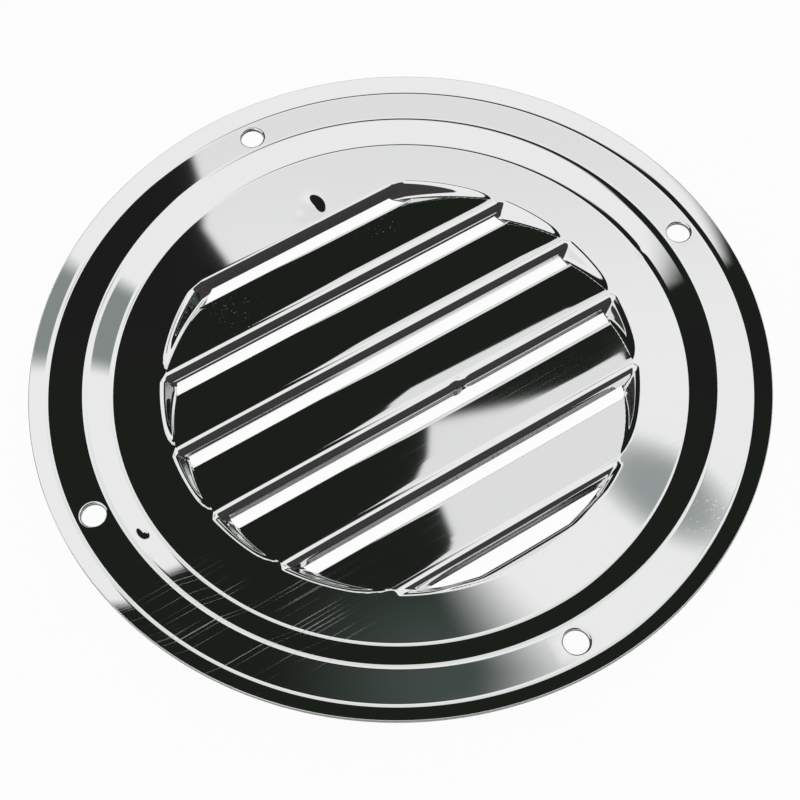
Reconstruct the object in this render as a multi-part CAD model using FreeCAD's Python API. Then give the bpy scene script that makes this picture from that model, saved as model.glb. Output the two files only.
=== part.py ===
"""Round louvred vent cover, pressed from one disc of polished stainless steel sheet.

The hollow side, which goes to the wall, faces +Z. From the outside in, the sheet has a rim turned up towards the
wall, a flat flange with screw holes, a sloping step, and a set-back centre with straight louvres. Each louvre is a
pocket pressed down out of the centre: a steep wall, a slot along its foot, and a blade that rises gently to the next
crest. The pockets end in sloping walls on one common circle.

Millimetres and degrees. The origin is the centre of the screw circle, on the flange's upper face, and X runs along
the louvres. The sizes below are those of the upper skin; the lower skin lies one sheet thickness under it.
"""

import FreeCAD, Part
import math
import os

from FreeCAD import Vector

# Driving dimensions: the disc and its rings
SHEET = 0.8
OUTER_DIAMETER = 127.0
RIM_WIDTH = 2.7
RIM_RISE = 1.5
FLANGE_WIDTH = 6.7
STEP_WIDTH = 4.0
STEP_DROP = 2.1
RING_BEND = 2.4

# Driving dimensions: the screw holes, and how far their pattern is turned from the louvres
HOLE_DIAMETER = 4.2
HOLE_COUNT = 4
HOLE_TURN = -3.0

# Driving dimensions: the louvres
FIELD_DIAMETER = 82.0
LOUVRE_PITCH = 14.0
LOUVRE_RISE = 3.1
LOUVRE_WALL_ANGLE = 70.0
END_WALL_ANGLE = 58.0
LOUVRE_BEND = 1.0
SLOT_WIDTH = 1.8
SLOT_LAP = 0.25
SLOT_END_LAND = 0.1
LAST_SEGMENT = 5.0

# A bend's skin starts this much above the flat that it leaves, so that the two meet at a small angle
BEND_ENTRY = 0.02

# Sizes that follow from those above
OUTER_RADIUS = OUTER_DIAMETER / 2
FLANGE_OUTER_RADIUS = OUTER_RADIUS - RIM_WIDTH
FLANGE_INNER_RADIUS = FLANGE_OUTER_RADIUS - FLANGE_WIDTH
CENTRE_RADIUS = FLANGE_INNER_RADIUS - STEP_WIDTH
CENTRE_LEVEL = -STEP_DROP
HOLE_CIRCLE_RADIUS = (FLANGE_OUTER_RADIUS + FLANGE_INNER_RADIUS) / 2
FIELD_RADIUS = FIELD_DIAMETER / 2
LOUVRE_COUNT = int(2 * (FIELD_RADIUS - LAST_SEGMENT) / LOUVRE_PITCH) + 1
FIRST_CREST = LOUVRE_PITCH * (LOUVRE_COUNT - 1) / 2
WALL_RUN = LOUVRE_RISE / math.tan(math.radians(LOUVRE_WALL_ANGLE))
BLADE_ANGLE = math.degrees(math.atan(LOUVRE_RISE / (LOUVRE_PITCH - WALL_RUN)))
REACH = 2 * (LOUVRE_RISE + SHEET)
FIELD_BORDER_RADIUS = (FIELD_RADIUS + CENTRE_RADIUS) / 2


def offset_line(points, depth):
    """The polyline that lies depth to the right of another, with mitred corners."""
    moved = []
    for i, (a, b) in enumerate(points):
        normals = []
        for p, q in ((i - 1, i), (i, i + 1)):
            if p >= 0 and q < len(points):
                da, db = points[q][0] - points[p][0], points[q][1] - points[p][1]
                length = math.hypot(da, db)
                normals.append((db / length, -da / length))
        na = sum(n[0] for n in normals) / len(normals)
        nb = sum(n[1] for n in normals) / len(normals)
        share = depth / (na * na + nb * nb)
        moved.append((a + na * share, b + nb * share))
    return moved


def skin(points, inside, depth, place):
    """Edges of a sheet's skin, depth under its upper skin, with each corner rounded about the same bend centre."""
    line = offset_line(points, depth)
    edges = []
    start = line[0]
    for before, corner, after in zip(line, line[1:], line[2:]):
        ua, ub = corner[0] - before[0], corner[1] - before[1]
        va, vb = after[0] - corner[0], after[1] - corner[1]
        u, v = math.hypot(ua, ub), math.hypot(va, vb)
        ua, ub, va, vb = ua / u, ub / u, va / v, vb / v
        cross = ua * vb - ub * va
        turn = math.atan2(cross, ua * va + ub * vb)
        radius = inside + depth if turn > 0 else inside + SHEET - depth
        cut = radius * math.tan(abs(turn) / 2)
        first = (corner[0] - ua * cut, corner[1] - ub * cut)
        last = (corner[0] + va * cut, corner[1] + vb * cut)
        sag = radius / math.cos(turn / 2) - radius
        ma, mb = va - ua, vb - ub
        m = math.hypot(ma, mb)
        middle = (corner[0] + ma / m * sag, corner[1] + mb / m * sag)
        edges.append(Part.makeLine(place(*start), place(*first)))
        edges.append(Part.Arc(place(*first), place(*middle), place(*last)).toShape())
        start = last
    edges.append(Part.makeLine(place(*start), place(*line[-1])))
    return edges


def closed_face(edges, extra_points, place):
    """A flat face between a skin's edges and straight sides through the extra points, back to the skin's start."""
    loop = [edges[-1].Vertexes[1].Point, *(place(*p) for p in extra_points), edges[0].Vertexes[0].Point]
    sides = [Part.makeLine(a, b) for a, b in zip(loop, loop[1:])]
    return Part.Face(Part.Wire([*edges, *sides]))


def radial(r, z):
    """A point of a turned section."""
    return Vector(r, 0, z)


def across(y, z):
    """A point of the louvres' section, at the field's -X side."""
    return Vector(-OUTER_RADIUS, y, z)


def turned(face):
    """The solid that a section makes in one full turn about Z."""
    return face.revolve(Vector(0, 0, 0), Vector(0, 0, 1), 360)


def dish():
    """The disc with its rim, flange, step and plain centre, trimmed round before the louvres are pressed."""
    line = [
        (0, CENTRE_LEVEL),
        (CENTRE_RADIUS, CENTRE_LEVEL),
        (FLANGE_INNER_RADIUS, 0),
        (FLANGE_OUTER_RADIUS, 0),
        (OUTER_RADIUS + RIM_WIDTH, 2 * RIM_RISE),
    ]
    upper = skin(line, RING_BEND, 0, radial)
    lower = skin(line, RING_BEND, SHEET, radial)
    ends = [
        Part.makeLine(lower[-1].Vertexes[1].Point, upper[-1].Vertexes[1].Point),
        Part.makeLine(lower[0].Vertexes[0].Point, upper[0].Vertexes[0].Point),
    ]
    blank = turned(Part.Face(Part.Wire(Part.__sortEdges__([*upper, *lower, *ends]))))
    return blank.common(Part.makeCylinder(OUTER_RADIUS, 2 * REACH, Vector(0, 0, -REACH)))


def crests():
    """The crest lines' places across the field, from the first louvre to the last."""
    return [FIRST_CREST - LOUVRE_PITCH * i for i in range(LOUVRE_COUNT)]


def crest_peak():
    """How far a crest's sharp corner stands above the round that replaces it."""
    wall, blade = math.radians(LOUVRE_WALL_ANGLE), math.radians(BLADE_ANGLE)
    share = (math.cos(wall) + math.cos(blade)) / (1 + math.cos(wall + blade)) - 1
    return (LOUVRE_BEND + SHEET) * share


def louvre_line():
    """The louvres' upper skin with sharp corners, from below the last louvre to the flat above the first."""
    top = CENTRE_LEVEL - BEND_ENTRY + crest_peak()
    foot = top - LOUVRE_RISE
    places = crests()
    points = [(places[-1] - LOUVRE_PITCH, top)]
    for crest in reversed(places):
        points.append((crest - WALL_RUN, foot))
        points.append((crest, top))
    # the first crest turns from its wall into the flat centre, so its corner lies at the flat's level
    flat = CENTRE_LEVEL + BEND_ENTRY
    points[-1] = (places[0] - (top - flat) / LOUVRE_RISE * WALL_RUN, flat)
    points.append((OUTER_RADIUS, flat))
    return points


def field_side():
    """The upper skin of the walls that end the louvres, from below the field out to the flat centre."""
    flat = CENTRE_LEVEL + BEND_ENTRY
    run = REACH / math.tan(math.radians(END_WALL_ANGLE))
    return [(FIELD_RADIUS - run, flat - REACH), (FIELD_RADIUS, flat), (FIELD_BORDER_RADIUS, flat)]


def pressed(depth):
    """What the press tool sinks into the centre, down to a skin that lies depth under the upper one."""
    lid = CENTRE_LEVEL + SHEET / 2 - depth
    line = louvre_line()
    edges = skin(line, LOUVRE_BEND, depth, across)
    start = edges[0].Vertexes[0].Point
    section = closed_face(edges, [(OUTER_RADIUS, lid), (start.y, lid)], across)
    bars = section.extrude(Vector(OUTER_DIAMETER, 0, 0))
    side = skin(field_side(), LOUVRE_BEND, depth, radial)
    foot = side[0].Vertexes[0].Point
    cup = turned(closed_face(side, [(FIELD_BORDER_RADIUS, lid), (0, lid), (0, foot.z)], radial))
    return bars.common(cup)


def slots():
    """One straight cut along each wall's foot, lapping a little up the wall, and short of the end walls."""
    end_run = LOUVRE_RISE / math.tan(math.radians(END_WALL_ANGLE))
    floor_radius = FIELD_RADIUS - end_run - SLOT_END_LAND
    low = CENTRE_LEVEL - REACH
    floor = Part.makeCylinder(floor_radius, REACH, Vector(0, 0, low))
    cuts = []
    for crest in crests():
        near = crest - WALL_RUN - SLOT_WIDTH
        strip = Part.makeBox(OUTER_DIAMETER, SLOT_WIDTH + SLOT_LAP, REACH, Vector(-OUTER_RADIUS, near, low))
        cuts.append(strip.common(floor))
    return cuts


def screw_holes():
    """Round holes through the flange, evenly spaced on the screw circle."""
    cuts = []
    for i in range(HOLE_COUNT):
        angle = math.radians(HOLE_TURN + 360 * i / HOLE_COUNT)
        x, y = HOLE_CIRCLE_RADIUS * math.cos(angle), HOLE_CIRCLE_RADIUS * math.sin(angle)
        cuts.append(Part.makeCylinder(HOLE_DIAMETER / 2, 3 * SHEET, Vector(x, y, -2 * SHEET)))
    return cuts


def vent_cover():
    """The finished cover: the dish with its louvres pressed, its slots cut and its screw holes punched."""
    sheet = dish().fuse(pressed(SHEET)).cut(pressed(0))
    return sheet.cut([*slots(), *screw_holes()]).removeSplitter()


def main():
    os.makedirs("parts", exist_ok=True)
    cover = vent_cover()
    solid = cover.Solids[0]
    solid.exportStep("parts/vent_cover.step")
    box = solid.BoundBox
    print("solids", len(cover.Solids), "valid", cover.isValid(), "volume", round(cover.Volume, 1))
    print("z from", round(box.ZMin, 3), "to", round(box.ZMax, 3), "louvres", LOUVRE_COUNT)


main()
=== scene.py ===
"""Dresses the round louvred vent cover: one pressed sheet of mirror-polished stainless steel.

The cover lies hollow side up, as the CAD model does: X runs along the louvres and +Z comes out of that side.
Sizes in the classes are millimetres and degrees; meshes are scaled to metres when they are finished.
"""

import logging
import math
from dataclasses import dataclass, field
from enum import Enum
from functools import partial, reduce
from typing import Callable

import bmesh
import bpy
import numpy as np
from mathutils import Matrix, Vector


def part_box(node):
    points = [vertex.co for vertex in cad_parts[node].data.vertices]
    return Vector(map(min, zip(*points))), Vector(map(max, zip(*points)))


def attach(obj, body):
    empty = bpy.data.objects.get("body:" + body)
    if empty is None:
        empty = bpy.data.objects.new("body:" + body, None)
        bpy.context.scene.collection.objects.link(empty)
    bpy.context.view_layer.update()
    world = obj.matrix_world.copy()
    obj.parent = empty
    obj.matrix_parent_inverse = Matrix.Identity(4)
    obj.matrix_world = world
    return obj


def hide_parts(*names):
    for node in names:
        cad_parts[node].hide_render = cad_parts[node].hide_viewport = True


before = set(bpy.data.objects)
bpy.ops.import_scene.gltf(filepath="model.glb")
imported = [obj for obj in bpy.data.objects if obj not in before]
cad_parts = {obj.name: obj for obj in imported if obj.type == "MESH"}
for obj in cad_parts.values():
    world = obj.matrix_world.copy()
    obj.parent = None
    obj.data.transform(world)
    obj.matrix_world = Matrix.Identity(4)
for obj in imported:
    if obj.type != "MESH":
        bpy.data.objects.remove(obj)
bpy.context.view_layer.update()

NODE = "vent_cover"
NODE_LOW, NODE_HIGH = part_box(NODE)
MILLIMETRE = 0.001

Place = tuple[float, float]
Span = tuple[float, float]
Run = tuple[float, float, float, float]
Axis = tuple[float, float, float]
Colour = tuple[float, float, float, float]
Field = Callable[[np.ndarray, np.ndarray], np.ndarray]

log = logging.getLogger("vent_cover")


def finish_mesh(mesh: bmesh.types.BMesh, name: str) -> bpy.types.Mesh:
    """Turns a mesh that was being made into a finished one.

    Args:
        mesh: the mesh, which is freed.
        name: the finished one's name.

    Returns:
        The finished mesh.
    """
    data = bpy.data.meshes.new(name)
    mesh.to_mesh(data)
    mesh.free()
    return data


def add_object(data: bpy.types.ID) -> bpy.types.Object:
    """Puts a mesh or a camera into the scene.

    Args:
        data: the mesh or the camera.

    Returns:
        The object, of the same name.
    """
    made = bpy.data.objects.new(data.name, data)
    bpy.context.scene.collection.objects.link(made)
    return made


class Surface(Enum):
    """Which finish a face of the sheet takes; the value is its material slot."""

    SKIN = 0
    CUT = 1


@dataclass(frozen=True)
class Bend:
    """One rounded corner of a section line.

    Args:
        start: where the round starts along the line.
        end: where it ends.
        centre: the bend's centre, along and up.
        radius: the upper skin's radius.
        side: 1 where the upper skin bulges up, -1 where it is hollow.
    """

    start: float
    end: float
    centre: Place
    radius: float
    side: int


@dataclass
class SectionLine:
    """The upper skin's section: straight runs joined by bends.

    Args:
        points: the sharp corners, from left to right.
        inside: the inside radius of every bend.
        sheet: the sheet's thickness, which an outside radius adds.
    """

    points: list[Place]
    inside: float
    sheet: float
    bends: list[Bend] = field(init=False)

    def __post_init__(self) -> None:
        """Works out the bends from the corners."""
        self.bends = [self._bend(*corners) for corners in zip(self.points, self.points[1:], self.points[2:])]

    def _bend(self, before: Place, corner: Place, after: Place) -> Bend:
        """Rounds one corner.

        Args:
            before: the corner to the left.
            corner: the corner that is rounded.
            after: the corner to the right.

        Returns:
            The bend, with its centre and where it starts and ends.
        """
        left = (Vector(corner) - Vector(before)).normalized()
        right = (Vector(after) - Vector(corner)).normalized()
        turn = math.atan2(left.x * right.y - left.y * right.x, left.dot(right))
        side = -1 if turn > 0 else 1
        radius = self.inside if side < 0 else self.inside + self.sheet
        run = radius * math.tan(abs(turn) / 2)
        start = Vector(corner) - left * run
        end = Vector(corner) + right * run
        centre = start + Vector((left.y, -left.x)) * radius * side
        return Bend(start.x, end.x, (centre.x, centre.y), radius, side)

    def height(self, along: np.ndarray) -> np.ndarray:
        """The skin's height.

        Args:
            along: places along the section.

        Returns:
            The height at each place.
        """
        along = np.asarray(along, float)
        corners = np.array(self.points)
        up = np.interp(along, corners[:, 0], corners[:, 1])
        for bend in self.bends:
            inside = (along > bend.start) & (along < bend.end)
            rest = np.clip(bend.radius**2 - (along - bend.centre[0]) ** 2, 0, None)
            up = np.where(inside, bend.centre[1] + bend.side * np.sqrt(rest), up)
        return up

    def stations(self, per_bend: int) -> list[float]:
        """Places along the section that show its bends well.

        Args:
            per_bend: how many steps each bend is divided into.

        Returns:
            The places, from left to right.
        """
        return [float(a) for bend in self.bends for a in np.linspace(bend.start, bend.end, per_bend + 1)]


@dataclass(frozen=True)
class Dent:
    """A small knock in the sheet: a round hump or hollow.

    Args:
        place: its centre in the louvres' axes.
        reach: how wide it is along X and along Y.
        height: how far the skin moves at its middle, up if positive.
    """

    place: Place
    reach: Place
    height: float

    def lift(self, x: np.ndarray, y: np.ndarray) -> np.ndarray:
        """Works out how far the knock moves the skin.

        Args:
            x: places along the louvres.
            y: places across them.

        Returns:
            The lift at each place.
        """
        off_x = (x - self.place[0]) / self.reach[0]
        off_y = (y - self.place[1]) / self.reach[1]
        return self.height * np.exp(-(off_x**2) - off_y**2)


@dataclass
class PressedCover:
    """The whole cover, from its rim to its louvres, made as one sheet with a thickness."""

    # Sizes that the solid has too
    sheet: float = 0.8
    outer_radius: float = NODE_HIGH[0] / MILLIMETRE
    rim_width: float = 2.7
    rim_rise: float = 1.5
    flange_width: float = 6.7
    step_width: float = 4.0
    step_drop: float = 2.1
    ring_bend: float = 2.4
    hole_diameter: float = 4.2
    hole_count: int = 4
    hole_turn: float = -3.0
    field_radius: float = 41.0
    pitch: float = 14.0
    louvre_count: int = 6
    rise: float = 3.1
    wall_angle: float = 70.0
    end_wall_angle: float = 58.0
    louvre_bend: float = 1.0
    slot_width: float = 1.8
    slot_lap: float = 0.25
    slot_end_land: float = 0.1

    # What the press and the shears leave on the sheet
    crest_drop: float = 0.02
    crest_end_lift: float = 0.06
    crest_end_run: float = 4.0
    crest_end_width: float = 1.8
    corner_blend: float = 0.9
    lip_blend: float = 0.08
    lip_slope: float = 0.12
    blade_crowns: tuple[float, ...] = (0.05, 0.14, 0.15, 0.15, 0.13, 0.0)
    curl_start: float = 0.6
    last_slot_extra: float = 1.0
    last_slot_reach: float = 0.94
    last_reach_run: float = 5.0
    last_lip_slope: float = 0.2
    last_lip_round: float = 1.3
    burr_height: float = 0.07
    burr_width: float = 0.6
    edge_round: float = 0.14
    hole_round: float = 0.35
    dents: tuple[Dent, ...] = (
        Dent((6.9, -7.7), (0.7, 0.8), -0.6),
        Dent((8.4, -7.8), (0.8, 1.0), 0.3),
    )

    # Where the mesh's parts meet, and how close its rows and columns lie
    field_border: float = 43.2
    field_cap: float = 42.6
    spin_steps: int = 240
    hole_steps: int = 64
    ring_bend_steps: int = 10
    louvre_bend_steps: int = 8
    field_columns: int = 120
    slot_columns_share: float = 0.5
    gather_width: float = 0.07
    gather_pull: float = 0.055
    blade_rows: int = 10
    wall_rows: int = 5
    burr_rows: int = 4
    row_pitch: float = 1.0
    lip_row_pitch: float = 0.2
    least_row_gap: float = 0.09
    rim_rounding: tuple[float, ...] = (0.1, 0.25, 0.5, 1.0)
    slot_rounding: tuple[float, ...] = (0.25, 0.6, 1.0)
    hole_rounding: tuple[float, ...] = (0.0, 0.1, 0.25, 0.45, 0.7, 1.0)
    weld: float = 1e-4
    tiny: float = 1e-5
    digits: int = 5
    slope_step: float = 0.01

    def __post_init__(self) -> None:
        """Works out the section lines from the sizes."""
        self.flange_outer = self.outer_radius - self.rim_width
        self.flange_inner = self.flange_outer - self.flange_width
        self.centre_radius = self.flange_inner - self.step_width
        self.centre_level = -self.step_drop
        self.wall_run = self.rise / math.tan(math.radians(self.wall_angle))
        self.first_crest = self.pitch * (self.louvre_count - 1) / 2
        end_run = self.rise / math.tan(math.radians(self.end_wall_angle))
        self.slot_radius = self.field_radius - end_run - self.slot_end_land
        self.rings = self._ring_line()
        self.louvres = self._louvre_line()
        self.field_side = self._field_line()

    def _ring_line(self) -> SectionLine:
        """Works out the section of the rings.

        Returns:
            The line from the centre out to the rim's edge.
        """
        corners = [
            (0.0, self.centre_level),
            (self.centre_radius, self.centre_level),
            (self.flange_inner, 0.0),
            (self.flange_outer, 0.0),
            (self.outer_radius, self.rim_rise),
        ]
        return SectionLine(corners, self.ring_bend, self.sheet)

    def crests(self) -> list[float]:
        """The crest lines' places across the louvres, first to last."""
        return [self.first_crest - self.pitch * i for i in range(self.louvre_count)]

    def slots(self) -> list[Span]:
        """Works out where the slots lie.

        Returns:
            Each slot's far and near edge, first to last. The last slot is wider than the others.
        """
        feet = [crest - self.wall_run for crest in self.crests()]
        edges = [(foot + self.slot_lap, foot - self.slot_width) for foot in feet]
        far, near = edges[-1]
        return [*edges[:-1], (far, near - self.last_slot_extra)]

    def _slot_reach(self, y: float) -> float:
        """The radius at which slots end, which grows towards the last slot."""
        past = self.crests()[-1] + self.last_reach_run - self.wall_run - y
        return self.slot_radius + self.last_slot_reach * min(max(past / self.last_reach_run, 0), 1)

    def _lip_end(self, start: float) -> Place:
        """The far end of a lip that leaves the flat centre's level at a place and rises out to the rim."""
        return self.outer_radius, self.centre_level + self.lip_slope * (self.outer_radius - start)

    def _louvre_line(self) -> SectionLine:
        """Works out the section across the louvres.

        Returns:
            The line from below the last louvre to the flat above the first.
        """
        wall = math.radians(self.wall_angle)
        blade = math.atan(self.rise / (self.pitch - self.wall_run))
        share = (math.cos(wall) + math.cos(blade)) / (1 + math.cos(wall + blade)) - 1
        top = self.centre_level - self.crest_drop + (self.louvre_bend + self.sheet) * share
        corners = [(self.crests()[-1] - self.pitch, top)]
        for crest in reversed(self.crests()):
            corners.append((crest - self.wall_run, top - self.rise))
            corners.append((crest, top))
        over = (top - self.centre_level) / self.rise * self.wall_run
        corners[-1] = (self.first_crest - over, self.centre_level)
        corners.append(self._lip_end(self.first_crest))
        return SectionLine(corners, self.louvre_bend, self.sheet)

    def _field_line(self) -> SectionLine:
        """Works out the section of the walls that end the louvres.

        Returns:
            The line from below the field out past the flat centre.
        """
        depth = 2 * (self.rise + self.sheet)
        run = depth / math.tan(math.radians(self.end_wall_angle))
        corners = [
            (self.field_radius - run, self.centre_level - depth),
            (self.field_radius, self.centre_level),
            self._lip_end(self.field_radius),
        ]
        return SectionLine(corners, self.louvre_bend, self.sheet)

    def form(self, x: np.ndarray, y: np.ndarray) -> np.ndarray:
        """The upper skin's height as pressed, before its cut edges are rounded over.

        Args:
            x: places along the louvres.
            y: places across them.

        Returns:
            The height at each place, with the small knocks in the sheet.
        """
        radius = np.hypot(x, y)
        saw = self.louvres.height(y) + self._blade_lift(x, y)
        side = self.field_side.height(radius)
        pocket = np.maximum(saw, side) + self._blend(saw, side, self.corner_blend)
        pocket = self._last_lip(x, y, pocket)
        level = self.centre_level
        pocket = np.minimum(pocket, level) - self._blend(pocket, level, self.lip_blend)
        up = np.where(radius < self.field_border, pocket, self.rings.height(radius))
        return up + sum(dent.lift(x, y) for dent in self.dents)

    @staticmethod
    def _blend(first: np.ndarray, second: np.ndarray | float, reach: float) -> np.ndarray:
        """How far a rounded meeting of two heights stands off the sharp one."""
        near = np.clip(1 - np.abs(first - second) / reach, 0, None)
        return near**2 * reach / 4

    def _last_lip(self, x: np.ndarray, y: np.ndarray, pocket: np.ndarray) -> np.ndarray:
        """Raises the sheet on the near side of the last slot to a shallow lip, rounded over at the slot.

        Args:
            x: places along the louvres.
            y: places across them.
            pocket: the pressed height there.

        Returns:
            The height with the lip.
        """
        near = self.slots()[-1][1]
        past, radius = near - y, np.hypot(x, y)
        lip = self.centre_level - self.last_lip_slope * np.clip(self.field_radius - radius, 0, None)
        lip = lip - self._drop(np.maximum(past, radius - self._slot_reach(near)), self.last_lip_round)
        ease = np.clip(1 + past / self.slot_width, 0, 1)
        return pocket + np.clip(lip - pocket, 0, None) * ease**2 * (3 - 2 * ease)

    def _blade_lift(self, x: np.ndarray, y: np.ndarray) -> np.ndarray:
        """What the press leaves on top of the straight section.

        Each blade is slightly crowned towards its crest, its sheared edge curls up, and the crests run flush
        into the flat at their ends.

        Args:
            x: places along the louvres.
            y: places across them.

        Returns:
            The lift at each place.
        """
        radius = np.hypot(x, y)
        inside = np.clip((self.field_radius - radius) / (2 * self.crest_end_run), 0, 1)
        outward = np.clip(1 - (self.field_radius - radius) / self.crest_end_run, 0, 1)
        lift = self.burr_height * np.clip(1 - self._slot_distance(x, y) / self.burr_width, 0, 1) ** 2
        for crest, (_, near), crown in zip(self.crests(), self.slots(), self.blade_crowns):
            share = np.clip((near - y) / (near - crest + self.pitch), 0, 1)
            curl = np.clip((share - self.curl_start) / (1 - self.curl_start), 0, 1) ** 2
            lift = lift + crown * (share - curl) * inside
            top = crest - self.pitch + self.louvre_bend
            beside = (y - top) / self.crest_end_width
            lift = lift + self.crest_end_lift * outward**2 * np.exp(-(beside**2))
        return lift

    def height(self, x: np.ndarray, y: np.ndarray) -> np.ndarray:
        """The upper skin's height, with its cut edges rounded over.

        Args:
            x: places along the louvres.
            y: places across them.

        Returns:
            The height at each place.
        """
        sheared = np.minimum(self.outer_radius - np.hypot(x, y), self._slot_distance(x, y))
        cut = self._drop(sheared, self.edge_round)
        punched = self._drop(self._hole_distance(x, y), self.hole_round)
        return self.form(x, y) - cut - punched

    def _hole_distance(self, x: np.ndarray, y: np.ndarray) -> np.ndarray:
        """How far each point lies from the edge of the nearest screw hole."""
        away = [np.hypot(x - centre[0], y - centre[1]) for centre in self.hole_centres()]
        return np.min(away, axis=0) - self.hole_diameter / 2

    def _slot_distance(self, x: np.ndarray, y: np.ndarray) -> np.ndarray:
        """Measures how far places lie from the nearest slot's edge on the blade, in plan.

        Args:
            x: places along the louvres.
            y: places across them.

        Returns:
            The distance at each place, without limit beyond a slot's near edge.
        """
        distance = np.full_like(x, np.inf)
        for _, near in self.slots():
            here = self._edge_distance(x, y, near)
            distance = np.minimum(distance, np.where(y <= near + self.edge_round, here, np.inf))
        return distance

    def _edge_distance(self, x: np.ndarray, y: np.ndarray, near: float) -> np.ndarray:
        """How far each point lies from one slot's near edge, in plan."""
        over = np.clip(np.hypot(x, near) - self._slot_reach(near), 0, None)
        return np.where(over > 0, np.hypot(near - y, over), near - y)

    @staticmethod
    def _drop(distance: np.ndarray, radius: float) -> np.ndarray:
        """Works out how far the skin falls away near a cut edge that is rounded over.

        Args:
            distance: how far places lie from the edge.
            radius: the round's radius.

        Returns:
            The fall at each place, short of the round's upright end.
        """
        steepest = 0.97
        inward = np.clip(1 - distance / radius, 0, steepest)
        return radius * (1 - np.sqrt(1 - inward**2))

    def normals(self, surface: Field, x: np.ndarray, y: np.ndarray) -> np.ndarray:
        """A skin's normals, from its slope.

        Args:
            surface: the skin's height as a function of x and y.
            x: places along the louvres.
            y: places across them.

        Returns:
            One unit normal for each place.
        """
        step = self.slope_step
        slope_x = (surface(x + step, y) - surface(x - step, y)) / (2 * step)
        slope_y = (surface(x, y + step) - surface(x, y - step)) / (2 * step)
        normals = np.stack([-slope_x, -slope_y, np.ones_like(slope_x)], axis=1)
        return normals / np.linalg.norm(normals, axis=1, keepdims=True)

    def _under_skin(self, x: np.ndarray, y: np.ndarray, facing: np.ndarray) -> np.ndarray:
        """Where the lower skin lies, one sheet thickness under the upper one.

        Args:
            x: places along the louvres.
            y: places across them.
            facing: the upper skin's normals as pressed.

        Returns:
            The lower skin's points. The rim is trimmed upright, so there they lie straight below.
        """
        upper = np.stack([x, y, self.form(x, y)], axis=1)
        slope = math.hypot(self.rim_width, self.rim_rise) / self.rim_width
        at_rim = np.hypot(x, y) > self.outer_radius - 2 * self.edge_round
        offset = np.where(at_rim[:, None], np.array((0, 0, slope)), facing)
        under = upper - self.sheet * offset
        under[:, 2] = np.maximum(under[:, 2], NODE_LOW[2] / MILLIMETRE)
        return under

    def _rows(self) -> list[float]:
        """Chooses the mesh rows of the louvred field: close at bends, wider on blades.

        Returns:
            The rows' places across the louvres.
        """
        wanted = self.louvres.stations(self.louvre_bend_steps)
        slot_edges = []
        for crest, (far, near) in zip(self.crests(), self.slots()):
            slot_edges += [far, near]
            slot_edges += [near - share * self.edge_round for share in self.slot_rounding]
            wanted += list(np.linspace(near - self.edge_round, near - self.burr_width, self.burr_rows))
            wanted += list(np.linspace(near, crest - self.pitch + self.louvre_bend, self.blade_rows))
            wanted += list(np.linspace(far, crest, self.wall_rows))
        wanted += list(np.arange(-self.field_cap, self.field_cap, self.row_pitch)) + [self.field_cap]
        wanted += list(np.arange(-self.field_cap, self.slots()[-1][1], self.lip_row_pitch))
        rows = sorted(slot_edges)
        for place in sorted(wanted):
            if abs(place) <= self.field_cap and min(abs(place - row) for row in rows) > self.least_row_gap:
                rows.append(place)
        return sorted(rows)

    def _half_chords(self, y: float) -> tuple[float, float]:
        """Measures one mesh row.

        Args:
            y: the row's place across the louvres.

        Returns:
            Its half lengths to the slots' ends and to the field's border.
        """
        lowest = self.slots()[-1][1]
        highest = self.first_crest + self.wall_run + self.slot_width
        outer = math.sqrt(self.field_border**2 - y**2)
        if lowest <= y <= highest:
            return math.sqrt(self._slot_reach(y) ** 2 - y**2), outer
        inner, edge = self._half_chords(lowest if y < 0 else highest)
        return inner * outer / edge, outer

    def _along_slot(self, share: float) -> float:
        """Spreads mesh columns along a slot, closer together round the dents.

        Args:
            share: an even spread, from -1 at one end of the slot to 1 at the other.

        Returns:
            The place along the slot, also from -1 to 1.
        """
        middle = self.dents[0].place[0] / self.slot_radius

        def spread(value: float) -> float:
            """Pulls a place towards the first dent."""
            return value - self.gather_pull * math.tanh((value - middle) / self.gather_width)

        return 2 * (spread(share) - spread(-1)) / (spread(1) - spread(-1)) - 1

    def _louvre_field(self, mesh: bmesh.types.BMesh) -> None:
        """Adds the louvred middle of the sheet, with its slots open.

        Args:
            mesh: the sheet being made.
        """
        rows = self._rows()
        share = self.slot_columns_share
        made = bmesh.ops.create_grid(mesh, x_segments=self.field_columns, y_segments=len(rows) - 1, size=1)
        levels = sorted({round(v.co.y, self.digits) for v in made["verts"]})
        place = dict(zip(levels, rows))
        in_slot = {}
        for vert in made["verts"]:
            y = place[round(vert.co.y, self.digits)]
            inner, outer = self._half_chords(y)
            reach = abs(vert.co.x)
            in_slot[vert] = reach <= share + self.tiny
            if in_slot[vert]:
                vert.co.x = inner * self._along_slot(vert.co.x / share)
            else:
                beyond = (reach - share) / (1 - share)
                vert.co.x = math.copysign(inner + (outer - inner) * beyond, vert.co.x)
            vert.co.y = y
        open_faces = []
        for face in {f for v in made["verts"] for f in v.link_faces}:
            middle = face.calc_center_median().y
            for far, near in self.slots():
                if near < middle < far and all(in_slot[v] for v in face.verts):
                    open_faces.append(face)
        bmesh.ops.delete(mesh, geom=open_faces, context="FACES")

    def _ring(self, mesh: bmesh.types.BMesh, first: float, last: float) -> None:
        """Adds one band of the sheet, spun about the axis.

        Args:
            mesh: the sheet being made.
            first: the band's inner radius.
            last: its outer radius.
        """
        stations = self.rings.stations(self.ring_bend_steps)
        bends = [r for r in stations if first - self.tiny <= r <= last + self.tiny]
        edge = [last - share * self.edge_round for share in self.rim_rounding]
        radii = sorted({round(r, self.digits) for r in [*bends, first, last, *edge]})
        self._spin(mesh, radii, (0.0, 0.0), self.spin_steps)

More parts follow.
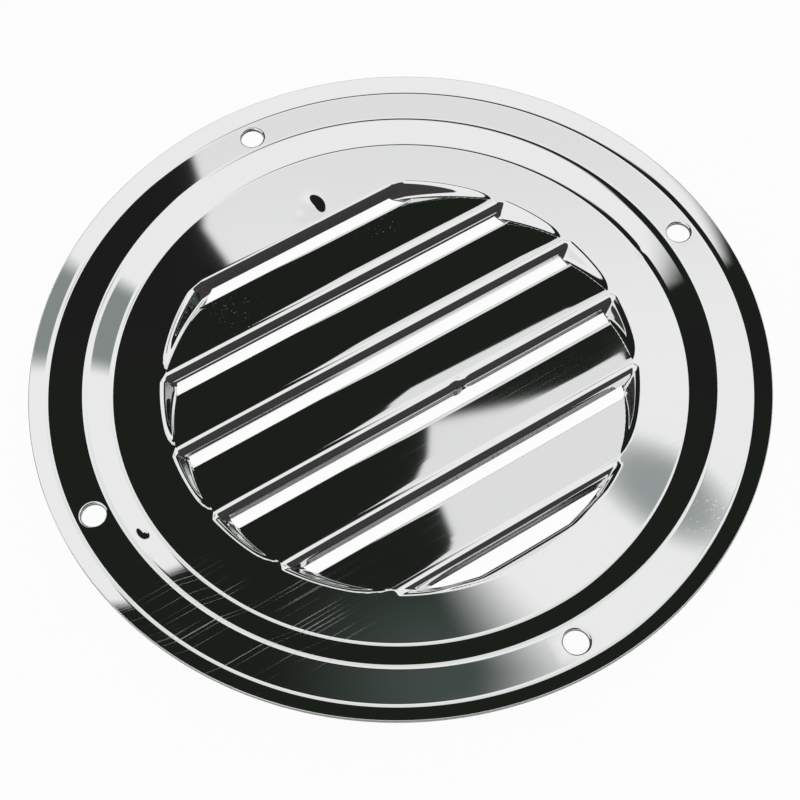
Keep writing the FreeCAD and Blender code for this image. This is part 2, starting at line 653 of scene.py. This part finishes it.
    @staticmethod
    def _spin(mesh: bmesh.types.BMesh, radii: list[float], centre: Place, steps: int) -> None:
        """Adds a flat ring.

        Args:
            mesh: the sheet being made.
            radii: where its circles lie, from the inside out.
            centre: its centre.
            steps: how many steps go round it.
        """
        verts = [mesh.verts.new((centre[0] + radius, centre[1], 0)) for radius in radii]
        edges = [mesh.edges.new(pair) for pair in zip(verts, verts[1:])]
        bmesh.ops.spin(
            mesh,
            geom=[*verts, *edges],
            cent=(*centre, 0),
            axis=(0, 0, 1),
            angle=2 * math.pi,
            steps=steps,
            use_merge=True,
        )

    def _fill_flat(self, mesh: bmesh.types.BMesh, inner: float, outer: float) -> None:
        """Fills a flat band between two open borders, leaving any loops inside it as holes.

        Args:
            mesh: the sheet being made.
            inner: the smallest radius of a border edge that bounds the band.
            outer: the largest one.
        """
        slack = 0.01
        border = []
        for edge in mesh.edges:
            radius = sum(v.co.xy.length for v in edge.verts) / 2
            in_band = inner - slack <= radius <= outer + slack
            if len(edge.link_faces) == 1 and in_band and not self._on_hole(edge):
                border.append(edge)
        bmesh.ops.triangle_fill(mesh, use_beauty=True, edges=border)

    def hole_centres(self) -> list[Place]:
        """Works out the screw holes' places.

        Returns:
            Their centres, round the middle of the flange.
        """
        middle = (self.flange_outer + self.flange_inner) / 2
        turns = [math.radians(self.hole_turn + 360 * i / self.hole_count) for i in range(self.hole_count)]
        return [(middle * math.cos(turn), middle * math.sin(turn)) for turn in turns]

    def _screw_hole_rims(self, mesh: bmesh.types.BMesh) -> None:
        """Adds a narrow ring round each screw hole, which the flange's flat is filled around.

        Args:
            mesh: the sheet being made.
        """
        radii = [self.hole_diameter / 2 + share * self.hole_round for share in self.hole_rounding]
        for centre in self.hole_centres():
            self._spin(mesh, radii, centre, self.hole_steps)

    def _on_hole(self, edge: bmesh.types.BMEdge) -> bool:
        """Tells whether an edge lies on the border of a screw hole.

        Args:
            edge: an edge of the flat sheet.

        Returns:
            True if both its ends do.
        """
        limit = (self.hole_diameter + self.hole_round) / 2
        places = [v.co.xy for v in edge.verts]
        return any(all((place - Vector(c)).length < limit for place in places) for c in self.hole_centres())

    def _upper_skin(self) -> bmesh.types.BMesh:
        """Makes the upper skin flat, in plan.

        Returns:
            A flat mesh of the whole sheet with its slots and screw holes open.
        """
        mesh = bmesh.new()
        foot, shoulder, rim = self.rings.bends
        self._screw_hole_rims(mesh)
        self._ring(mesh, foot.start, shoulder.end)
        self._ring(mesh, rim.start, self.outer_radius)
        self._fill_flat(mesh, shoulder.end, rim.start)
        self._louvre_field(mesh)
        self._fill_flat(mesh, self.field_cap, foot.start)
        bmesh.ops.remove_doubles(mesh, verts=mesh.verts, dist=self.weld)
        mesh.normal_update()
        bmesh.ops.reverse_faces(mesh, faces=[f for f in mesh.faces if f.normal.z < 0])
        return mesh

    def build(self) -> bpy.types.Object:
        """Makes the cover.

        Returns:
            The finished object, without its materials.
        """
        mesh = self._upper_skin()
        x, y = np.array([v.co.xy for v in mesh.verts]).T
        heights = self.height(x, y)
        normals = self.normals(self.height, x, y)
        under_normals = self.normals(self.form, x, y)
        under_points = self._under_skin(x, y, under_normals)
        facing = mesh.verts.layers.float_vector.new("facing")
        under_facing = mesh.verts.layers.float_vector.new("under_facing")
        under_point = mesh.verts.layers.float_vector.new("under_point")
        for i, vert in enumerate(mesh.verts):
            vert.co.z = heights[i]
            vert[facing] = normals[i]
            vert[under_facing] = -under_normals[i]
            vert[under_point] = under_points[i]
        made = bmesh.ops.extrude_face_region(mesh, geom=list(mesh.faces), use_keep_orig=True)["geom"]
        under = {g for g in made if isinstance(g, bmesh.types.BMVert)}
        for vert in under:
            vert.co = vert[under_point]
            vert[facing] = vert[under_facing]
        for face in mesh.faces:
            sides = {v in under for v in face.verts}
            face.material_index = Surface.CUT.value if len(sides) == 2 else Surface.SKIN.value
            face.smooth = True
        bmesh.ops.recalc_face_normals(mesh, faces=mesh.faces)
        bmesh.ops.scale(mesh, vec=(MILLIMETRE,) * 3, verts=mesh.verts)
        data = finish_mesh(mesh, "pressed_cover")
        self._set_normals(data)
        cover = add_object(data)
        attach(cover, "root")
        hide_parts(NODE)
        return cover

    def _set_normals(self, data: bpy.types.Mesh) -> None:
        """Gives the skins the exact normals of their form, and the cut edges flat ones.

        Args:
            data: the finished mesh.
        """
        facing = np.zeros(len(data.vertices) * 3, np.float32)
        data.attributes["facing"].data.foreach_get("vector", facing)
        corner_vert = np.zeros(len(data.loops), np.int32)
        data.loops.foreach_get("vertex_index", corner_vert)
        normals = facing.reshape(-1, 3)[corner_vert].copy()
        for face in data.polygons:
            if face.material_index == Surface.CUT.value:
                normals[face.loop_start : face.loop_start + face.loop_total] = face.normal
        data.normals_split_custom_set(normals.tolist())
        for name in ("facing", "under_facing", "under_point"):
            data.attributes.remove(data.attributes[name])


class NodeSketch:
    """Adds nodes to a tree and joins them, in few words.

    A value may be another node's output or a plain number, and most methods return the new node's output.

    Args:
        tree: the node tree that is filled.
    """

    def __init__(self, tree: bpy.types.NodeTree) -> None:
        """Keeps the tree."""
        self.tree = tree

    def add(self, kind: str, **settings: object) -> bpy.types.Node:
        """Adds a node.

        Args:
            kind: the node's type.
            settings: properties of the node and their values.

        Returns:
            The node.
        """
        node = self.tree.nodes.new(kind)
        for name, value in settings.items():
            setattr(node, name, value)
        return node

    def feed(self, socket: bpy.types.NodeSocket, value: object) -> None:
        """Links an output to an input, or sets the input's plain value.

        Args:
            socket: the input.
            value: what it is fed with.
        """
        if isinstance(value, bpy.types.NodeSocket):
            self.tree.links.new(value, socket)
        else:
            socket.default_value = value

    def _fed(self, node: bpy.types.Node, *values: object) -> bpy.types.NodeSocket:
        """Feeds a node's inputs in order.

        Args:
            node: the node.
            values: what its first inputs are fed with.

        Returns:
            The node's first output.
        """
        for socket, value in zip(node.inputs, values):
            self.feed(socket, value)
        return node.outputs[0]

    def math(self, operation: str, *values: object) -> bpy.types.NodeSocket:
        """Adds a sum, product or other operation over the values."""
        return self._fed(self.add("ShaderNodeMath", operation=operation), *values)

    def both(self, first: object, second: object) -> bpy.types.NodeSocket:
        """Adds the product of two masks."""
        return self.math("MULTIPLY", first, second)

    def either(self, *masks: object) -> bpy.types.NodeSocket:
        """Adds the greatest of some masks."""
        return reduce(partial(self.math, "MAXIMUM"), masks)

    def spread(self, offs: list[object], reach: Place) -> bpy.types.NodeSocket:
        """Adds the square of how far a place lies from a mark's middle, counted in the mark's reach.

        Args:
            offs: how far it lies off the middle along the mark's two axes.
            reach: the mark's reach along them.

        Returns:
            The square, which is 1 at the mark's reach.
        """
        squares = []
        for off, limit in zip(offs, reach):
            squares.append(self.math("POWER", self.math("DIVIDE", off, limit), 2.0))
        return self.math("ADD", *squares)

    def ramp(self, value: object, low: float, high: float) -> bpy.types.NodeSocket:
        """Adds a smooth step of the value, from 0 at low to 1 at high."""
        return self._fed(self.add("ShaderNodeMapRange", interpolation_type="SMOOTHSTEP"), value, low, high)

    def line(self, value: object, *run: float) -> bpy.types.NodeSocket:
        """Adds a straight run of the value between two ends, to what is put out at each, level beyond."""
        return self._fed(self.add("ShaderNodeMapRange", interpolation_type="LINEAR"), value, *run)

    def noise(self, vector: object, scale: float, detail: float) -> bpy.types.NodeSocket:
        """Adds a noise.

        Args:
            vector: the place.
            scale: how fine the noise is.
            detail: how many finer layers it has.

        Returns:
            Its value.
        """
        node = self.add("ShaderNodeTexNoise")
        self.feed(node.inputs["Vector"], vector)
        self.feed(node.inputs["Scale"], scale)
        self.feed(node.inputs["Detail"], detail)
        return node.outputs[0]

    def along(self, vector: object, axis: Axis) -> bpy.types.NodeSocket:
        """Adds a dot product.

        Args:
            vector: a place or a direction.
            axis: what it is measured along.

        Returns:
            How far it leads along the axis.
        """
        node = self.add("ShaderNodeVectorMath", operation="DOT_PRODUCT")
        self.feed(node.inputs[0], vector)
        node.inputs[1].default_value = axis
        return node.outputs["Value"]

    def mix(self, factor: object, first: object, second: object) -> bpy.types.NodeSocket:
        """Adds a mix of two colours.

        Args:
            factor: the second colour's share.
            first: the first colour.
            second: the second colour.

        Returns:
            The mixed colour.
        """
        first_colour, second_colour, mixed_colour = 6, 7, 2
        node = self.add("ShaderNodeMix", data_type="RGBA")
        self.feed(node.inputs["Factor"], factor)
        self.feed(node.inputs[first_colour], first)
        self.feed(node.inputs[second_colour], second)
        return node.outputs[mixed_colour]


def start_material(name: str) -> tuple[bpy.types.Material, NodeSketch, bpy.types.Node]:
    """Starts a node material.

    Args:
        name: its name.

    Returns:
        The material, its nodes and, among them, its shader.
    """
    material = bpy.data.materials.new(name)
    material.use_nodes = True
    return material, NodeSketch(material.node_tree), material.node_tree.nodes["Principled BSDF"]


@dataclass(frozen=True)
class SteelWear:
    """The marks that both steels carry, as one node group: hairlines along X, specks and a slow waviness."""

    hairline_stretch: Axis = (22.0, 3200.0, 22.0)
    hairline_detail: float = 1.0
    hairline_edge: Span = (0.6, 0.7)
    hairline_patches: Span = (0.36, 0.52)
    patch_scale: float = 38.0
    patch_detail: float = 2.0
    speck_scale: float = 1500.0
    speck_edge: Span = (0.22, 0.1)
    speck_patches: Span = (0.35, 0.55)
    wave_scale: float = 32.0
    wave_detail: float = 0.0

    def group(self) -> bpy.types.NodeTree:
        """Builds the group, or finds it if it is there already.

        Returns:
            A node tree that takes a place and puts out three masks from 0 to 1.
        """
        if "steel_wear" in bpy.data.node_groups:
            return bpy.data.node_groups["steel_wear"]
        tree = bpy.data.node_groups.new("steel_wear", "ShaderNodeTree")
        tree.interface.new_socket("Place", in_out="INPUT", socket_type="NodeSocketVector")
        for name in ("Hairlines", "Specks", "Wave"):
            tree.interface.new_socket(name, in_out="OUTPUT", socket_type="NodeSocketFloat")
        sketch = NodeSketch(tree)
        place = sketch.add("NodeGroupInput").outputs["Place"]
        stretched = sketch.add("ShaderNodeVectorMath", operation="MULTIPLY")
        sketch.feed(stretched.inputs[0], place)
        sketch.feed(stretched.inputs[1], self.hairline_stretch)
        streaks = sketch.noise(stretched.outputs[0], 1.0, self.hairline_detail)
        lines = sketch.ramp(streaks, *self.hairline_edge)
        patches = sketch.noise(place, self.patch_scale, self.patch_detail)
        dots = sketch.add("ShaderNodeTexVoronoi")
        sketch.feed(dots.inputs["Vector"], place)
        sketch.feed(dots.inputs["Scale"], self.speck_scale)
        specks = sketch.ramp(dots.outputs["Distance"], *self.speck_edge)
        lines = sketch.both(lines, sketch.ramp(patches, *self.hairline_patches))
        specks = sketch.both(specks, sketch.ramp(patches, *self.speck_patches))
        out = sketch.add("NodeGroupOutput")
        sketch.feed(out.inputs["Hairlines"], lines)
        sketch.feed(out.inputs["Specks"], specks)
        sketch.feed(out.inputs["Wave"], sketch.noise(place, self.wave_scale, self.wave_detail))
        return tree

    def add(self, sketch: NodeSketch, place: bpy.types.NodeSocket) -> bpy.types.Node:
        """Puts the group into a material.

        Args:
            sketch: the material's nodes.
            place: what the group is fed with.

        Returns:
            The group's node.
        """
        node = sketch.add("ShaderNodeGroup", node_tree=self.group())
        sketch.feed(node.inputs["Place"], place)
        return node


@dataclass(frozen=True)
class Knock:
    """A mark in the polish: a shallow dint, or a place with dust or scratches.

    Args:
        place: its centre, in millimetres.
        reach: how wide it is along X and along Y.
        depth: how deep a dint is, in millimetres, or how dense the dust or scratches are, from 0 to 1.
    """

    place: Place
    reach: Place
    depth: float

    def mask(self, sketch: NodeSketch, place: bpy.types.NodeSocket) -> bpy.types.NodeSocket:
        """Works out the mark's strength at a place.

        Args:
            sketch: the material's nodes.
            place: where it is asked for.

        Returns:
            The depth at the mark's middle, falling off to nothing at its reach.
        """
        offs = []
        for axis, centre in zip(((1, 0, 0), (0, 1, 0)), self.place):
            offs.append(sketch.math("SUBTRACT", sketch.along(place, axis), centre * MILLIMETRE))
        reach = (self.reach[0] * MILLIMETRE, self.reach[1] * MILLIMETRE)
        fall = sketch.math("EXPONENT", sketch.math("MULTIPLY", sketch.spread(offs, reach), -1.0))
        return sketch.math("MULTIPLY", fall, self.depth)


@dataclass(frozen=True)
class PolishedSteel:
    """Mirror-polished stainless steel with hairline scratches, dust specks, small dints and slight waves."""

    colour: Colour = (0.86, 0.87, 0.86, 1.0)
    dull_colour: Colour = (0.78, 0.79, 0.78, 1.0)
    roughness: float = 0.03
    hairline_roughness: float = 0.34
    speck_roughness: float = 0.55
    scratched: Knock = Knock((-47.0, -27.0), (17.0, 16.0), 1.0)
    scratched_elsewhere: float = 0.06
    wave_depth: float = 0.02
    knocks: tuple[Knock, ...] = (
        Knock((5.3, 38.9), (1.6, 2.2), 0.18),
        Knock((2.4, 38.0), (1.1, 1.2), 0.05),
        Knock((49.9, -1.9), (0.5, 1.1), 0.07),
        Knock((-51.8, -3.6), (0.6, 1.0), 0.16),
    )
    dusty: tuple[Knock, ...] = (
        Knock((-17.0, 27.5), (9.0, 5.0), 0.9),
        Knock((14.0, 29.0), (7.0, 3.5), 0.6),
        Knock((21.8, -40.6), (3.0, 2.5), 1.0),
        Knock((27.2, -50.6), (4.0, 2.5), 1.0),
    )

    def material(self) -> bpy.types.Material:
        """Builds the finish.

        Returns:
            A node material.
        """
        material, sketch, shader = start_material("polished_steel")
        shader.inputs["Metallic"].default_value = 1.0
        place = sketch.add("ShaderNodeTexCoord").outputs["Object"]
        wear = SteelWear().add(sketch, place)
        scratched = sketch.either(self.scratched.mask(sketch, place), self.scratched_elsewhere)
        hairlines = sketch.both(wear.outputs["Hairlines"], scratched)
        dust = 0.0
        for spot in self.dusty:
            dust = sketch.math("ADD", spot.mask(sketch, place), dust)
        specks = sketch.both(wear.outputs["Specks"], sketch.math("MINIMUM", dust, 1.0))
        marks = sketch.either(hairlines, specks)
        sketch.feed(shader.inputs["Base Color"], sketch.mix(marks, self.colour, self.dull_colour))
        rough = sketch.math("MULTIPLY_ADD", hairlines, self.hairline_roughness, self.roughness)
        rough = sketch.math("MULTIPLY_ADD", specks, self.speck_roughness, rough)
        sketch.feed(shader.inputs["Roughness"], rough)
        height = sketch.math("MULTIPLY", wear.outputs["Wave"], self.wave_depth * MILLIMETRE)
        for knock in self.knocks:
            height = sketch.math("MULTIPLY_ADD", knock.mask(sketch, place), -MILLIMETRE, height)
        bump = sketch.add("ShaderNodeBump")
        bump.inputs["Strength"].default_value = 1.0
        bump.inputs["Distance"].default_value = 1.0
        sketch.feed(bump.inputs["Height"], height)
        sketch.feed(shader.inputs["Normal"], bump.outputs[0])
        return material


@dataclass(frozen=True)
class ShearedSteel:
    """The sheet's cut edges: duller steel with fine upright lines left by the punch."""

    colour: Colour = (0.6, 0.61, 0.6, 1.0)
    line_colour: Colour = (0.42, 0.43, 0.42, 1.0)
    roughness: float = 0.3
    line_roughness: float = 0.15

    def material(self) -> bpy.types.Material:
        """Builds the finish.

        Returns:
            A node material.
        """
        material, sketch, shader = start_material("sheared_steel")
        shader.inputs["Metallic"].default_value = 1.0
        place = sketch.add("ShaderNodeTexCoord").outputs["Object"]
        upright = sketch.add("ShaderNodeCombineXYZ")
        for socket, axis in zip(upright.inputs, ((0, 0, 1), (1, 0, 0), (0, 1, 0))):
            sketch.feed(socket, sketch.along(place, axis))
        lines = SteelWear().add(sketch, upright.outputs[0]).outputs["Hairlines"]
        sketch.feed(shader.inputs["Base Color"], sketch.mix(lines, self.colour, self.line_colour))
        rough = sketch.math("MULTIPLY_ADD", lines, self.line_roughness, self.roughness)
        sketch.feed(shader.inputs["Roughness"], rough)
        return material


@dataclass
class Room:
    """The light that the cover mirrors: a soft white ceiling, dark walls and two dim shades.

    The view's right and far directions are turned from the louvres' axes about Z. The room's parts are placed
    by how far right and how far away a direction leads, over its rise. A span is where a part begins and
    where it is whole. A run gives a line's two ends and what it puts out at them.
    """

    view_right: Axis = (0.866, -0.5, 0.0)
    view_far: Axis = (0.5, 0.866, 0.0)
    least_rise: float = 0.02

    # The light and the walls' paint
    white: Colour = (1.0, 1.0, 1.0, 1.0)
    near_light: Colour = (0.945, 0.94, 0.95, 1.0)
    far_light: Colour = (0.83, 0.825, 0.835, 1.0)
    black: Colour = (0.014, 0.013, 0.014, 1.0)
    green_black: Colour = (0.0125, 0.0155, 0.0118, 1.0)
    near_black: Colour = (0.058, 0.076, 0.068, 1.0)
    teal: Colour = (0.18, 0.213, 0.21, 1.0)
    wall_grey: Colour = (0.05, 0.047, 0.046, 1.0)

    # Where each of them is seen
    far_light_away: Span = (0.58, 0.82)
    far_light_right: Span = (0.55, 0.3)
    green_near: Span = (0.66, 0.56)
    green_far: Span = (0.95, 1.1)
    walls_away: Span = (0.1, 0.25)
    near_black_away: Span = (0.46, 0.36)
    near_black_right: Span = (-0.1, 0.02)
    wall_grey_away: Span = (0.05, -0.1)

    # The walls
    near_wall_way: Axis = (0.0, -1.0, 0.0)
    near_wall_edge: Span = (0.46, 0.52)
    left_wall_lean: Run = (0.36, 0.72, 0.085, -0.145)
    left_wall_far_lean: Run = (0.75, 1.3, 0.0, -0.145)
    left_wall_softness: Run = (0.34, 0.55, 0.05, 0.004)
    left_wall_start: Run = (-0.5, 0.03, 0.1, 0.3)
    left_wall_late_start: Run = (-0.82, -0.62, 0.27, 0.0)
    left_wall_start_edge: Span = (-0.06, 0.05)
    far_wall_lean: float = 0.42
    far_wall_side: Span = (0.02, 0.09)
    far_wall_edge: Span = (1.375, 1.4)
    skirting_top: Span = (0.37, 0.33)
    skirting_end: Span = (-0.4, -0.2)

    # The two shades, both on the right
    round_shade_way: Axis = (0.612, 0.354, 0.707)
    round_shade_edge: Span = (0.988, 0.996)
    round_shade_strength: float = 0.9
    slant_shade_place: Place = (0.18, 0.485)
    slant_shade_lean: Place = (0.75, 0.66)
    slant_shade_reach: Place = (0.055, 0.03)
    slant_shade_edge: Span = (1.5, 0.1)
    slant_shade_strength: float = 0.8

    def __post_init__(self) -> None:
        """Starts the world's nodes with a direction and how far right and away it leads."""
        self.world = bpy.data.worlds.new("studio")
        self.world.use_nodes = True
        self.sketch = NodeSketch(self.world.node_tree)
        self.way = self.sketch.add("ShaderNodeTexCoord").outputs["Generated"]
        self.up = self.sketch.along(self.way, (0, 0, 1))
        rise = self.sketch.math("MAXIMUM", self.up, self.least_rise)
        self.right = self.sketch.math("DIVIDE", self.sketch.along(self.way, self.view_right), rise)
        self.far = self.sketch.math("DIVIDE", self.sketch.along(self.way, self.view_far), rise)

    def build(self) -> None:
        """Puts the room around the scene; the camera itself sees plain white."""
        sketch = self.sketch
        walls = sketch.either(self._left_wall(), self._far_wall(), self._near_wall(), self._skirting())
        shades = sketch.either(self._round_shade(), self._slant_shade())
        light = sketch.mix(shades, self._ceiling(), self.teal)
        room = sketch.mix(walls, light, self._wall_paint())
        path = sketch.add("ShaderNodeLightPath")
        seen = sketch.mix(path.outputs["Is Camera Ray"], room, self.white)
        sketch.feed(self.world.node_tree.nodes["Background"].inputs["Color"], seen)
        bpy.context.scene.world = self.world

    def _ceiling(self) -> bpy.types.NodeSocket:
        """Lights the room from above, a little less far away.

        Returns:
            The light's colour.
        """
        away = self.sketch.ramp(self.far, *self.far_light_away)
        dimmed = self.sketch.both(away, self.sketch.ramp(self.right, *self.far_light_right))
        return self.sketch.mix(dimmed, self.near_light, self.far_light)

    def _wall_paint(self) -> bpy.types.NodeSocket:
        """Paints the walls nearly black, greener in places and greyer nearby.

        Returns:
            The paint's colour.
        """
        sketch, far = self.sketch, self.far
        green = sketch.either(sketch.ramp(far, *self.green_near), sketch.ramp(far, *self.green_far))
        away = sketch.ramp(far, *self.walls_away)
        paint = sketch.mix(sketch.both(green, away), self.black, self.green_black)
        nearby = sketch.ramp(far, *self.near_black_away)
        nearby = sketch.both(nearby, sketch.ramp(self.right, *self.near_black_right))
        paint = sketch.mix(sketch.both(nearby, away), paint, self.near_black)
        return sketch.mix(sketch.ramp(far, *self.wall_grey_away), paint, self.wall_grey)

    def _left_wall(self) -> bpy.types.NodeSocket:
        """The dark wall on the left: its edge leans left as it goes away, and is softer nearby.

        Returns:
            Its mask.
        """
        sketch = self.sketch
        lean = sketch.line(self.far, *self.left_wall_lean)
        edge = sketch.math("ADD", lean, sketch.line(self.far, *self.left_wall_far_lean))
        inside = sketch.math("SUBTRACT", edge, self.right)
        softness = sketch.line(self.far, *self.left_wall_softness)
        wall = sketch.ramp(sketch.math("DIVIDE", inside, softness), -1.0, 1.0)
        start = sketch.line(self.right, *self.left_wall_start)
        start = sketch.math("ADD", start, sketch.line(self.right, *self.left_wall_late_start))
        past = sketch.math("SUBTRACT", self.far, start)
        return sketch.both(wall, sketch.ramp(past, *self.left_wall_start_edge))

    def _far_wall(self) -> bpy.types.NodeSocket:
        """The dark far end of the room, from the left round to just right of the middle.

        Returns:
            Its mask.
        """
        lean = self.sketch.math("MULTIPLY", self.far, self.far_wall_lean)
        side = self.sketch.ramp(self.sketch.math("SUBTRACT", lean, self.right), *self.far_wall_side)
        return self.sketch.both(side, self.sketch.ramp(self.far, *self.far_wall_edge))

    def _near_wall(self) -> bpy.types.NodeSocket:
        """The dark wall near the camera, on its right."""
        return self.sketch.ramp(self.sketch.along(self.way, self.near_wall_way), *self.near_wall_edge)

    def _skirting(self) -> bpy.types.NodeSocket:
        """The dark band low down round the far and right sides of the room.

        Returns:
            Its mask.
        """
        low = self.sketch.ramp(self.up, *self.skirting_top)
        side = self.sketch.along(self.way, self.view_right)
        return self.sketch.both(low, self.sketch.ramp(side, *self.skirting_end))

    def _round_shade(self) -> bpy.types.NodeSocket:
        """A dim round shape, seen in the rim and the step.

        Returns:
            Its mask.
        """
        right, far, up = self.round_shade_way
        middle = Vector(self.view_right) * right + Vector(self.view_far) * far + Vector((0, 0, up))
        toward = self.sketch.along(self.way, tuple(middle.normalized()))
        return self.sketch.both(self.sketch.ramp(toward, *self.round_shade_edge), self.round_shade_strength)

    def _slant_shade(self) -> bpy.types.NodeSocket:
        """A dim slanting shape overhead, seen in the flat rings.

        Returns:
            Its mask.
        """
        sketch = self.sketch
        across = sketch.math("SUBTRACT", self.right, self.slant_shade_place[0])
        away = sketch.math("SUBTRACT", self.far, self.slant_shade_place[1])
        straight, leaning = self.slant_shade_lean
        long = sketch.math("MULTIPLY_ADD", across, straight, sketch.math("MULTIPLY", away, -leaning))
        wide = sketch.math("MULTIPLY_ADD", across, leaning, sketch.math("MULTIPLY", away, straight))
        spread = sketch.spread([long, wide], self.slant_shade_reach)
        return sketch.both(sketch.ramp(spread, *self.slant_shade_edge), self.slant_shade_strength)


@dataclass
class Studio:
    """The camera, the pale floor and the room around the cover, in metres and degrees."""

    # The camera
    aim: Axis = (-0.00342, -0.00568, 0.0)
    eye_distance: float = 0.27247
    eye_heading: float = 59.97
    eye_elevation: float = 60.56
    eye_roll: float = -2.10
    lens: float = 72.0
    sensor: float = 36.0
    nearest_seen: float = 0.01

    # The floor
    floor_size: float = 6.0
    floor_colour: Colour = (0.9, 0.9, 0.9, 1.0)
    floor_roughness: float = 0.9
    floor_glow: float = 0.96

    def camera(self) -> None:
        """Sets the camera up at the photograph's viewpoint."""
        data = bpy.data.cameras.new("camera")
        data.lens = self.lens
        data.sensor_width = self.sensor
        data.clip_start = self.nearest_seen
        camera = add_object(data)
        heading = Matrix.Rotation(math.radians(self.eye_heading - 90), 4, "Z")
        pitch = Matrix.Rotation(math.radians(90 - self.eye_elevation), 4, "X")
        roll = Matrix.Rotation(math.radians(self.eye_roll), 4, "Z")
        back_off = Matrix.Translation((0, 0, self.eye_distance))
        camera.matrix_world = Matrix.Translation(self.aim) @ heading @ pitch @ roll @ back_off
        bpy.context.scene.camera = camera

    def floor(self) -> None:
        """Lays a pale floor just under the louvres."""
        mesh = bmesh.new()
        bmesh.ops.create_grid(mesh, x_segments=1, y_segments=1, size=self.floor_size / 2)
        bmesh.ops.translate(mesh, vec=(0, 0, NODE_LOW[2]), verts=mesh.verts)
        floor = add_object(finish_mesh(mesh, "floor"))
        floor.data.materials.append(self._floor_paint())

    def _floor_paint(self) -> bpy.types.Material:
        """Builds the floor's finish.

        Returns:
            A pale paint that glows nearly white to the camera, and keeps a trace of the cover's shadow.
        """
        material, sketch, paint = start_material("pale_floor")
        paint.inputs["Base Color"].default_value = self.floor_colour
        paint.inputs["Roughness"].default_value = self.floor_roughness
        glow = sketch.add("ShaderNodeEmission")
        path = sketch.add("ShaderNodeLightPath")
        seen = sketch.either(path.outputs["Is Camera Ray"], path.outputs["Is Transmission Ray"])
        blend = sketch.add("ShaderNodeMixShader")
        sketch.feed(blend.inputs["Fac"], sketch.both(seen, self.floor_glow))
        sketch.feed(blend.inputs[1], paint.outputs[0])
        sketch.feed(blend.inputs[2], glow.outputs[0])
        sketch.feed(material.node_tree.nodes["Material Output"].inputs["Surface"], blend.outputs[0])
        return material

    def build(self) -> None:
        """Sets up the camera, the floor and the room."""
        self.camera()
        self.floor()
        Room().build()
        bpy.context.scene.view_settings.view_transform = "Standard"


def main() -> None:
    """Builds the cover and its studio, and reports what was made."""
    logging.basicConfig(level=logging.INFO, format="%(name)s: %(message)s")
    cover = PressedCover().build()
    for finish in (PolishedSteel(), ShearedSteel()):
        cover.data.materials.append(finish.material())
    log.info("cover: %d vertices, %d triangles", len(cover.data.vertices), len(cover.data.loop_triangles))
    Studio().build()
    bpy.context.view_layer.update()


if __name__ == "__main__":
    main()
